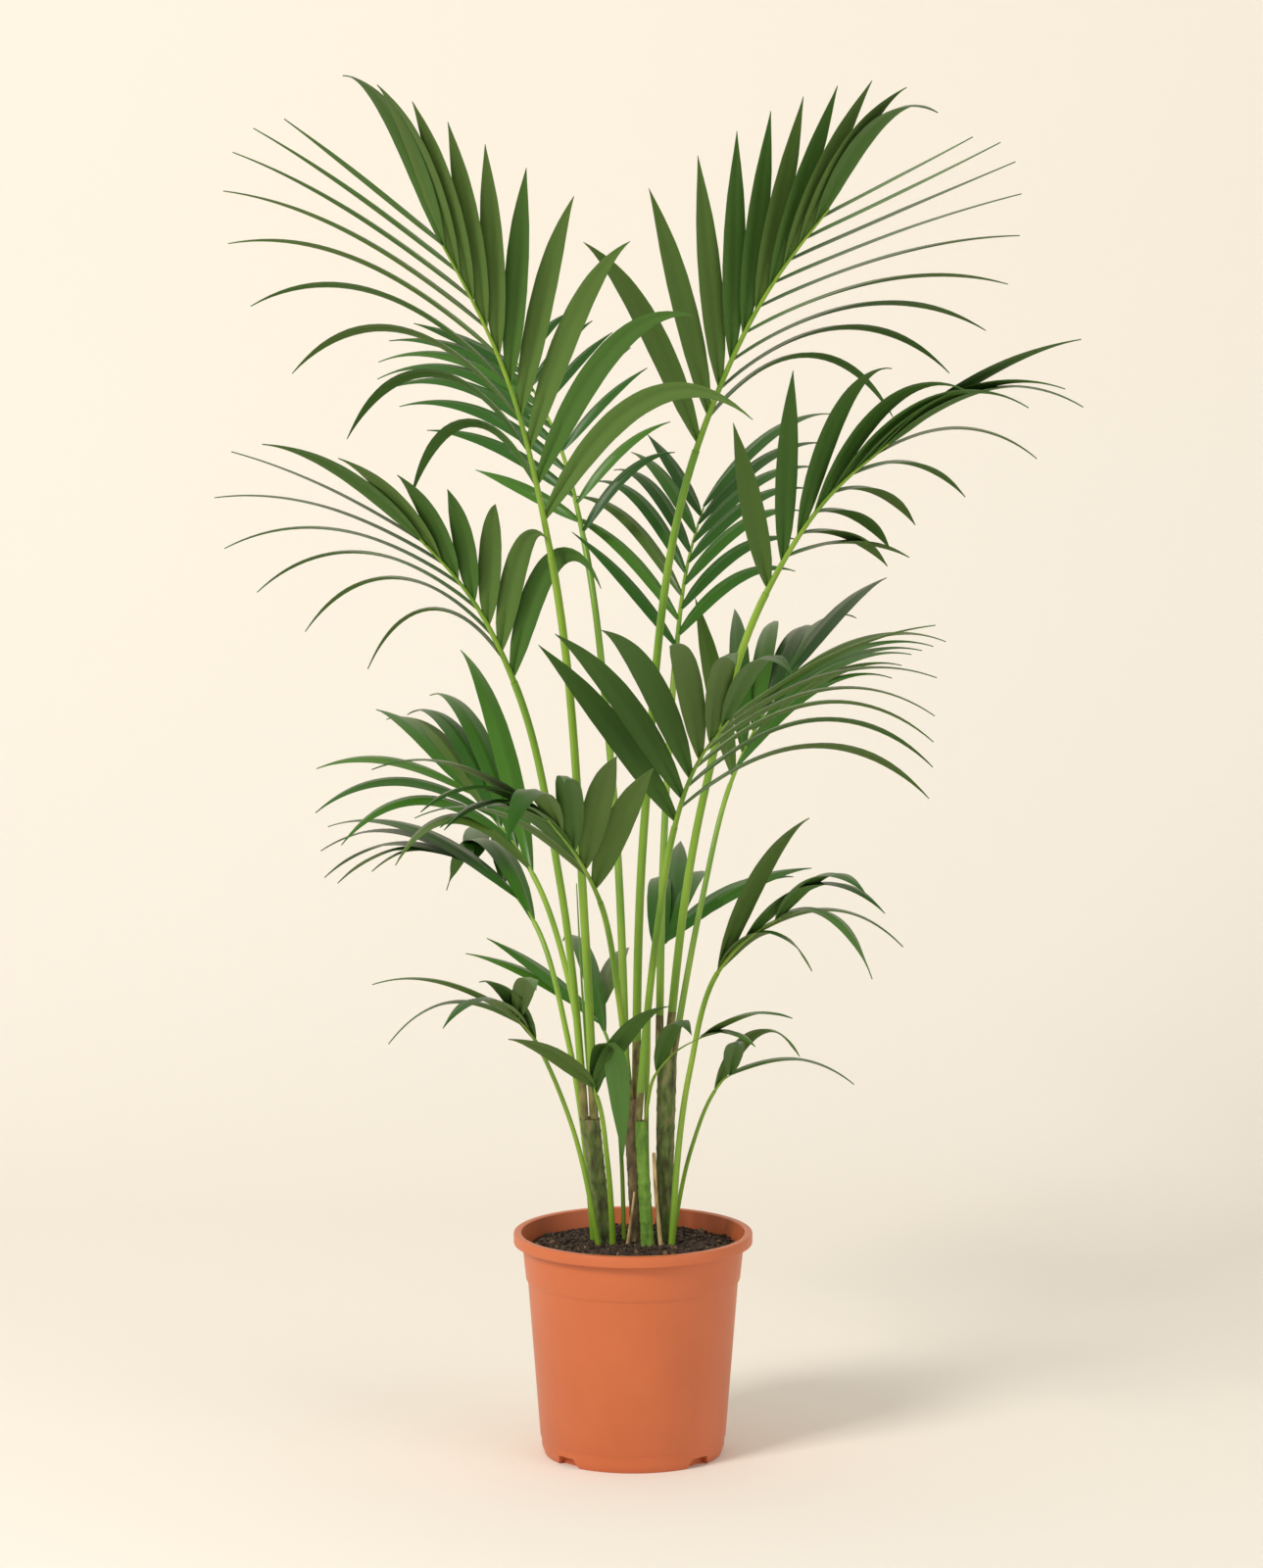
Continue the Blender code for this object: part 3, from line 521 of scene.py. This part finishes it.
def stalk_materials():
    """The stalks' green and the brown scurf at their feet."""
    green, tree, shader = shader_of("stalk_green", (0.24, 0.42, 0.035), 0.38)
    texture = noise_node(tree, 30, 4, (1, 1, 0.12))
    add_ramp(tree, shader, texture, ((0.30, (0.11, 0.25, 0.014)), (0.70, (0.27, 0.42, 0.035))))
    add_bump(tree, shader, noise_node(tree, 240, 2, (1, 1, 0.08)), 0.15, 0.0004)
    scurf, tree, shader = shader_of("stalk_scurf", (0.20, 0.15, 0.06), 0.75)
    texture = noise_node(tree, 180, 5, (1, 1, 0.3))
    add_ramp(tree, shader, texture, (
        (0.35, (0.10, 0.075, 0.03)), (0.55, (0.20, 0.20, 0.05)), (0.75, (0.34, 0.24, 0.11)),
    ))
    add_bump(tree, shader, texture, 0.4, 0.0008)
    return green, scurf


def cane_material(name, low, mid, high):
    """A scurfy skin streaked along the stem."""
    material, tree, shader = shader_of(name, mid, 0.72)
    texture = noise_node(tree, 150, 6, (1, 1, 0.35))
    add_ramp(tree, shader, texture, ((0.33, low), (0.50, mid), (0.72, high)))
    add_bump(tree, shader, texture, 0.5, 0.001)
    return material


def pot_material():
    """Terracotta-coloured plastic, a little uneven in tone."""
    material, tree, shader = shader_of("pot_plastic", (0.72, 0.20, 0.065), 0.42)
    texture = noise_node(tree, 14, 5)
    add_ramp(tree, shader, texture, ((0.30, (0.53, 0.125, 0.038)), (0.70, (0.57, 0.140, 0.045))))
    add_bump(tree, shader, noise_node(tree, 420, 3), 0.12, 0.0003)
    return material


def soil_material():
    """Dark crumbly soil with paler grains."""
    material, tree, shader = shader_of("soil_dark", (0.03, 0.018, 0.011), 0.95)
    texture = noise_node(tree, 190, 8)
    add_ramp(tree, shader, texture, (
        (0.35, (0.014, 0.008, 0.005)), (0.55, (0.050, 0.029, 0.016)), (0.80, (0.13, 0.078, 0.042)),
    ))
    add_bump(tree, shader, texture, 0.8, 0.003)
    return material


def face_outwards(mesh):
    """Turns every face of a closed mesh outwards."""
    work = bmesh.new()
    work.from_mesh(mesh)
    bmesh.ops.recalc_face_normals(work, faces=work.faces)
    work.to_mesh(mesh)
    work.free()


def piece(name, points, faces, materials, picks=None, smooth=True):
    """A mesh piece that rides on the plant's one body."""
    mesh = bpy.data.meshes.new(name)
    mesh.from_pydata(np.asarray(points).tolist(), [], [tuple(int(i) for i in f) for f in faces])
    made = bpy.data.objects.new(name, mesh)
    bpy.context.scene.collection.objects.link(made)
    for material in materials:
        mesh.materials.append(material)
    if picks is not None:
        mesh.polygons.foreach_set("material_index", np.asarray(picks, np.int32))
    face_outwards(mesh)
    if smooth:
        mesh.shade_smooth()
        mesh.set_sharp_from_angle(angle=radians(SMOOTH_ANGLE))
    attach(made, "root")
    return made


class Heap:
    """Points, faces and material picks gathered into one piece."""

    def __init__(self):
        self.points, self.faces, self.picks, self.count = [], [], [], 0

    def add(self, points, faces, picks):
        """Takes in one more closed shape, with a material pick for each face."""
        self.points.append(np.asarray(points, float))
        self.faces += [tuple(i + self.count for i in face) for face in faces]
        self.picks += list(picks)
        self.count += len(points)

    def build(self, name, materials):
        """The piece made of everything taken in."""
        return piece(name, np.vstack(self.points), self.faces, materials, self.picks)


def fine_leaflet(blade, t, sign, side, rise):
    """A leaflet as a thin closed skin: a folded, faintly pleated face and its underside."""
    line, normal = blade.leaflet_path(t, sign, side, rise, LEAF_ROWS)
    wide, face = leaf_facing(line, normal, side.lay)
    share = np.linspace(0, 1, LEAF_ROWS + 1)
    half = 0.5 * blade.plan.width * np.interp(
        share, (0, 0.05, 0.15, 0.28, 0.42, 0.58, 0.72, 0.84, 0.93, 1),
        (0.20, 0.42, 0.74, 0.94, 1.0, 0.93, 0.74, 0.45, 0.20, 0.02),
    )
    fold = LEAF_FOLD * np.interp(share, (0, 0.1, 0.5, 1), (0.6, 1.0, 0.8, 0.1))
    top, under = [], []
    for k in range(LEAF_ROWS + 1):
        for j in range(LEAF_ACROSS + 1):
            x = 2 * j / LEAF_ACROSS - 1
            pleat = PLEAT_DEPTH * cos(6 * pi * x) * (1 - share[k])
            height = fold[k] * (1 - abs(x) ** 0.8) + pleat
            at_skin = line[k] + wide[k] * half[k] * x
            edge = min(1.0, (1 - abs(x)) * 4)
            top.append(at_skin + face[k] * (height + LEAF_SKIN * edge))
            under.append(at_skin + face[k] * (height - LEAF_SKIN * edge - UNDERSIDE_DROP))
    points = np.vstack([top, under])
    row = LEAF_ACROSS + 1
    back = len(top)
    faces, upper = [], []
    for k in range(LEAF_ROWS):
        for j in range(LEAF_ACROSS):
            a = k * row + j
            faces.append((a, a + 1, a + row + 1, a + row))
            upper.append(True)
            faces.append((back + a, back + a + row, back + a + row + 1, back + a + 1))
            upper.append(False)
    for k in range(LEAF_ROWS):
        for a in (k * row, k * row + LEAF_ACROSS):
            faces.append((a, a + row, back + a + row, back + a))
            upper.append(True)
    for j in range(LEAF_ACROSS):
        for a in (j, LEAF_ROWS * row + j):
            faces.append((a, a + 1, back + a + 1, back + a))
            upper.append(True)
    return points, faces, upper


def cad_trees(blades):
    """The trees that the source tests its leaflets against, in the same order."""
    solids = []
    for name, cane in CANES.items():
        line = np.linspace(cane.foot, cane.top, CANE_STEPS)
        upright = np.tile(UP, (CANE_STEPS, 1))
        radii = np.linspace(*cane.radii, CANE_STEPS)
        solids.append((name, tree_of(*tube(line, upright, radii, CANE_FACETS, flat_foot=True))))
    for name, shoot in SHOOTS.items():
        line, tangent = smooth_curve(shoot.points, SHOOT_STEPS)
        radii = np.linspace(*shoot.radii, SHOOT_STEPS)
        solids.append((name, tree_of(*tube(line, tangent, radii, SHOOT_FACETS, flat_foot=True))))
    bed = np.array(((0, 0, 0.1), (0, 0, SOIL_TOP)))
    solids.append(("soil", tree_of(*tube(bed, np.array((UP, UP)), (RIM_RADIUS, RIM_RADIUS), SOIL_FACETS))))
    for blade in blades:
        solids.append((f"stalk_{blade.name}", tree_of(*blade.stalk())))
        solids.append((blade.name, tree_of(*blade.rachis())))
    return solids


def clear_leaflet(blade, t, sign, side, solids):
    """The rise nearest the usual one at which a leaflet touches no other node, or None."""
    for change in RISE_TRIES:
        rise = RISE + change
        proxy = tree_of(*blade.leaflet(t, sign, side, rise, PROXY_MARGIN))
        others = (tree for owner, tree in solids if owner != blade.name)
        if not any(proxy.overlap(tree) for tree in others):
            return rise
    return None


def leaflets_of(blade, solids, greens):
    """One frond's leaflets as one piece, each with its own green above and below."""
    leaves = Heap()
    for t, sign, side in blade.leaflets():
        rise = clear_leaflet(blade, t, sign, side, solids)
        if rise is None:
            continue
        solids.append((blade.name, tree_of(*blade.leaflet(t, sign, side, rise))))
        points, faces, upper = fine_leaflet(blade, t, sign, side, rise)
        shade = int(rng.choice(len(LEAF_GREENS), p=GREEN_SHARES))
        below = len(LEAF_GREENS) + int(rng.integers(len(UNDER_GREENS)))
        leaves.add(points, faces, [shade if is_top else below for is_top in upper])
    made = leaves.build(f"leaflets_{blade.name}", greens)
    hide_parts(f"frond_{blade.name}")


def rib_of(blade, green):
    """The rib that the leaflets stand on, from just past the stalk's end to the tip."""
    start = blade.split + CLEAR / blade.length
    line, tangent = part_of_curve(blade.line, blade.tangent, start, 1, STALK_ROWS + 1)
    radii = blade.plan.stalk[1] * np.linspace(*RIB_TAPER, STALK_ROWS + 1)
    points, faces = tube(line, tangent, radii, STALK_SIDES)
    made = piece(f"rib_{blade.name}", points, faces, [green])


def petiole_of(blade, green, scurf):
    """The stalk, green, with brown scurf round its foot where it stands on a cane."""
    line, tangent = part_of_curve(blade.line, blade.tangent, 0, blade.split, STALK_ROWS + 1)
    foot_radius, end_radius = blade.plan.stalk
    radii = np.interp(
        np.linspace(0, 1, STALK_ROWS + 1), (0, 0.12, 1), (foot_radius, foot_radius * 0.97, end_radius)
    )
    points, faces = tube(line, tangent, radii, STALK_SIDES, flat_foot=True)
    on_cane = blade.plan.foot[2] > HIGH_FOOT
    edge = int(SCURF_SHARE * STALK_ROWS) if on_cane else 0
    picks = [1, 0] + [1 if ring < edge else 0 for ring in range(STALK_ROWS) for _ in range(STALK_SIDES)]
    made = piece(f"petiole_{blade.name}", points, faces, [green, scurf], picks)
    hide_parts(f"stalk_{blade.name}")


def fronds():
    """Each frond's leaflets, rib and stalk, by the source's rule."""
    greens = leaf_materials()
    green, scurf = stalk_materials()
    blades = [Blade(name) for name in FRONDS]
    solids = cad_trees(blades)
    for blade in blades:
        leaflets_of(blade, solids, greens)
        rib_of(blade, green)
        petiole_of(blade, green, scurf)


def rough_tube(points, amount, grain, seed):
    """Shifts each point sideways by a smooth noise, more finely round a tube than along it."""
    out = []
    for p in points:
        shift = noise.noise(Vector((p[0] * grain + seed, p[1] * grain, p[2] * grain * 0.5)))
        out.append(p + amount * shift * np.array((1, 1, 0)))
    return out


def canes():
    """The four canes with their ring scars and relief."""
    brown = cane_material("cane_brown", (0.045, 0.030, 0.014), (0.12, 0.090, 0.035), (0.24, 0.17, 0.08))
    mottled = cane_material("cane_mottled", (0.055, 0.045, 0.018), (0.095, 0.150, 0.026), (0.25, 0.21, 0.095))
    green = cane_material("cane_green", (0.07, 0.15, 0.014), (0.11, 0.24, 0.020), (0.17, 0.31, 0.040))
    finish = {"cane_left": mottled, "cane_middle": brown, "cane_front": green, "cane_right": mottled}
    share = np.linspace(0, 1, CANE_ROWS + 1)
    scars = CANE_RELIEF * np.cos(share * 2 * pi * CANE_RINGS) ** 12
    upright = np.tile(UP, (CANE_ROWS + 1, 1))
    for seed, (name, cane) in enumerate(CANES.items()):
        line = np.linspace(cane.foot, cane.top, CANE_ROWS + 1)
        radii = np.interp(share, (0, 1), cane.radii) + scars - CLEAR
        points, faces = tube(line, upright, radii, CANE_SIDES, flat_foot=True)
        bark = rough_tube(points, CANE_RELIEF, CANE_GRAIN, seed * 9)
        made = piece(f"{name}_bark", bark, faces, [finish[name]])
        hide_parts(name)


def shoots():
    """The unopened leaf, the cut stub and the dry sheath."""
    dry = cane_material("dry_sheath", (0.20, 0.13, 0.05), (0.40, 0.28, 0.12), (0.60, 0.46, 0.24))
    spear_green, tree, shader = shader_of("spear_green", (0.16, 0.34, 0.04), 0.4)
    add_bump(tree, shader, noise_node(tree, 200, 2, (1, 1, 0.1)), 0.2, 0.0004)
    for name, shoot in SHOOTS.items():
        line, tangent = smooth_curve(shoot.points, SHOOT_ROWS + 1)
        radii = np.linspace(*shoot.radii, SHOOT_ROWS + 1)
        points, faces = tube(line, tangent, radii, SHOOT_SIDES, flat_foot=True)
        made = piece(f"{name}_skin", points, faces, [spear_green if name == "spear" else dry])
        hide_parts(name)


def soil_fall(radius):
    """How far the soil lies below its level middle, lower towards the wall."""
    return np.interp(radius, (0.070, 0.095, 0.117), (0, 0.0045, 0.0070))


def soil_bed(dark):
    """The soil's rough top, closed below."""
    points = [(0, 0, SOIL_TOP - CLEAR)]
    for r in range(1, SOIL_RINGS + 1):
        radius = SOIL_RADIUS * r / SOIL_RINGS
        for k in range(SOIL_TURNS):
            angle = 2 * pi * k / SOIL_TURNS
            x, y = radius * cos(angle), radius * sin(angle)
            rough = SOIL_ROUGHNESS * noise.fractal(Vector((x * SOIL_GRAIN, y * SOIL_GRAIN, 3.0)), 1.0, 2.0, 4)
            points.append((x, y, SOIL_TOP - CLEAR - soil_fall(radius) + rough))
    rim = len(points)
    for k in range(SOIL_TURNS):
        angle = 2 * pi * k / SOIL_TURNS
        points.append((SOIL_BASE_RADIUS * cos(angle), SOIL_BASE_RADIUS * sin(angle), SOIL_BASE))
    faces = [(0, 1 + k, 1 + (k + 1) % SOIL_TURNS) for k in range(SOIL_TURNS)]
    for r in range(SOIL_RINGS):
        for k in range(SOIL_TURNS):
            a, b = 1 + r * SOIL_TURNS + k, 1 + r * SOIL_TURNS + (k + 1) % SOIL_TURNS
            faces.append((a, a + SOIL_TURNS, b + SOIL_TURNS, b))
    faces.append(tuple(range(rim, rim + SOIL_TURNS)))
    bed = piece("soil_bed", points, faces, [dark])
    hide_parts("soil")


def soil_crumbs(dark):
    """Loose grains on the bed, most of them dark and some tan."""
    tan, tree, shader = shader_of("soil_specks", (0.16, 0.10, 0.05), 0.9)
    add_bump(tree, shader, noise_node(tree, 300, 4), 0.4, 0.0008)
    ball = bmesh.new()
    bmesh.ops.create_icosphere(ball, subdivisions=1, radius=1)
    ball_points = np.array([v.co[:] for v in ball.verts])
    ball_faces = [tuple(v.index for v in f.verts) for f in ball.faces]
    ball.free()
    crumbs = Heap()
    for _ in range(CRUMB_COUNT):
        radius, angle = CRUMB_REACH * rng.random() ** 0.5, 2 * pi * rng.random()
        size = CRUMB_SMALLEST + CRUMB_RANGE * rng.random() ** 3
        centre = (radius * cos(angle), radius * sin(angle), SOIL_TOP - soil_fall(radius) + size * CRUMB_LIFT)
        jitter = 1 + CRUMB_JITTER * (rng.random((len(ball_points), 1)) - 0.5)
        stretch = 0.7 + 0.6 * rng.random(3)
        pick = 1 if rng.random() < SPECK_SHARE else 0
        crumbs.add(ball_points * jitter * stretch * size + centre, ball_faces, [pick] * len(ball_faces))
    grit = crumbs.build("soil_crumbs", [dark, tan])


def soil():
    """The bed and its crumbs."""
    dark = soil_material()
    soil_bed(dark)
    soil_crumbs(dark)


def pot_profile():
    """The pot's section from the middle of its underside, up the outside, over the lip and down inside."""
    lip = RIM_RADIUS
    return (
        (0, 0), (0.045, 0), (0.050, UNDERSIDE), (0.078, UNDERSIDE), (0.080, 0),
        (FOOT_RADIUS - 0.0008, 0), (FOOT_RADIUS, 0.0008), (0.0996, 0.0096), (0.1001, 0.0190),
        (0.1006, 0.0197), (0.1013, 0.0207), (0.1144, 0.1906), (0.1149, 0.1922), (0.1162, 0.1940),
        (0.1167, 0.1955), (0.1195, 0.2222), (0.1207, 0.2325), (0.1213, 0.2335), (lip - 0.0012, 0.2336),
        (lip - 0.0003, 0.2341), (lip, 0.2350), (lip, 0.2442), (lip - 0.0004, 0.2453),
        (lip - 0.0015, POT_HEIGHT), (MOUTH_RADIUS + 0.0012, POT_HEIGHT), (MOUTH_RADIUS, 0.2452),
        (0.1185, 0.2250), (0.1142, 0.1950), (0.1119, 0.1900), (0.0988, 0.0205), (0.0960, FLOOR_TOP),
        (0, FLOOR_TOP),
    )


def turned(profile, turns):
    """Points and faces of a profile, which starts and ends on the axis, turned about it."""
    points = [(0, 0, profile[0][1])]
    for radius, height in profile[1:-1]:
        for k in range(turns):
            angle = 2 * pi * k / turns
            points.append((radius * cos(angle), radius * sin(angle), height))
    points.append((0, 0, profile[-1][1]))
    last, rings = len(points) - 1, len(profile) - 2
    faces = []
    for k in range(turns):
        after = (k + 1) % turns
        faces.append((0, 1 + after, 1 + k))
        top = 1 + (rings - 1) * turns
        faces.append((last, top + k, top + after))
        for ring in range(rings - 1):
            a = 1 + ring * turns
            faces.append((a + k, a + after, a + turns + after, a + turns + k))
    return points, faces


def drain_hole(k):
    """The shape that one drainage hole takes out."""
    angle = 2 * pi * (k + 0.5) / HOLE_COUNT
    foot = np.array((HOLE_RING * cos(angle), HOLE_RING * sin(angle), -0.01))
    line = np.array((foot, foot + UP * 0.04))
    return tube(line, np.array((UP, UP)), (HOLE_RADIUS, HOLE_RADIUS), HOLE_SIDES)


def foot_notch(angle):
    """The shape that one notch takes out of the foot, wider at the floor."""
    out = np.array((sin(radians(angle)), -cos(radians(angle)), 0.0))
    across = np.array((-out[1], out[0], 0.0))
    section = (
        (-NOTCH_FOOT, -NOTCH_BELOW), (NOTCH_FOOT, -NOTCH_BELOW),
        (NOTCH_TOP, NOTCH_HEIGHT), (-NOTCH_TOP, NOTCH_HEIGHT),
    )
    points = [out * reach + across * x + UP * z for reach in NOTCH_REACH for x, z in section]
    return points, [(0, 1, 2, 3), (7, 6, 5, 4), (0, 4, 5, 1), (1, 5, 6, 2), (2, 6, 7, 3), (3, 7, 4, 0)]


def pot():
    """The pot turned finely, with its rounded lip, band, drainage holes and foot notches."""
    points, faces = turned(pot_profile(), POT_TURNS)
    made = piece("pot_shell", points, faces, [pot_material()], smooth=False)
    for k in range(HOLE_COUNT):
        take_out(made, *drain_hole(k))
    for angle in NOTCH_ANGLES:
        take_out(made, *foot_notch(angle))
    made.data.shade_smooth()
    made.data.set_sharp_from_angle(angle=radians(POT_SMOOTH_ANGLE))
    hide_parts("pot")


def take_out(part, points, faces):
    """Cuts one closed shape out of a piece."""
    mesh = bpy.data.meshes.new("cutter")
    mesh.from_pydata([tuple(p) for p in points], [], faces)
    cutter = bpy.data.objects.new("cutter", mesh)
    bpy.context.scene.collection.objects.link(cutter)
    face_outwards(mesh)
    bite = part.modifiers.new("cut", "BOOLEAN")
    bite.object = cutter
    bite.operation = "DIFFERENCE"
    bite.solver = "MANIFOLD"
    bpy.context.view_layer.objects.active = part
    bpy.ops.object.modifier_apply(modifier=bite.name)
    bpy.data.objects.remove(cutter)


def stage():
    """A pale floor that sweeps up into a backdrop."""
    cream = shader_of("backdrop_cream", CREAM, 0.9)[0]
    bend = 1.2
    half_width, front, top, below = 8.0, -9.0, 7.0, 0.0001
    profile = [(front, 0.0), (bend, 0.0)]
    profile += [(bend + bend * sin(a), bend - bend * cos(a)) for a in np.linspace(0, pi / 2, 16)[1:]]
    profile.append((2 * bend, top))
    points = [(x, y, z - below) for y, z in profile for x in (-half_width, half_width)]
    faces = [(2 * k, 2 * k + 1, 2 * k + 3, 2 * k + 2) for k in range(len(profile) - 1)]
    mesh = bpy.data.meshes.new("floor")
    mesh.from_pydata(points, [], faces)
    mesh.materials.append(cream)
    mesh.shade_smooth()
    floor = bpy.data.objects.new("floor", mesh)
    bpy.context.scene.collection.objects.link(floor)


def area_light(name, place, target, size, power, colour):
    """A square lamp aimed at a point."""
    lamp = bpy.data.lights.new(name, "AREA")
    lamp.energy = power
    lamp.size = size
    lamp.color = colour
    made = bpy.data.objects.new(name, lamp)
    made.location = place
    made.rotation_euler = (Vector(target) - Vector(place)).to_track_quat("-Z", "Y").to_euler()
    bpy.context.scene.collection.objects.link(made)


def lights_and_camera():
    """A key light from the left, a fill from the right, a pale world and the front camera."""
    scene = bpy.context.scene
    scene.view_settings.view_transform = "Standard"
    world = bpy.data.worlds.new("studio")
    world.use_nodes = True
    background = world.node_tree.nodes["Background"]
    background.inputs["Color"].default_value = (1.0, 0.98, 0.95, 1)
    background.inputs["Strength"].default_value = 0.60
    scene.world = world
    area_light("key", (-3.2, -3.4, 3.6), (0, 0, 0.7), 1.6, 215, (1.0, 0.96, 0.90))
    area_light("fill", (3.6, -3.0, 2.2), (0, 0, 0.8), 3.0, 45, (1.0, 0.97, 0.94))
    camera_data = bpy.data.cameras.new("camera")
    camera_data.lens = LENS
    camera_data.sensor_width = SENSOR
    camera = bpy.data.objects.new("camera", camera_data)
    camera.location = CAMERA_PLACE
    camera.rotation_euler = (radians(90 - CAMERA_DOWN), 0, 0)
    scene.collection.objects.link(camera)
    scene.camera = camera


stage()
lights_and_camera()
pot()
soil()
canes()
shoots()
fronds()
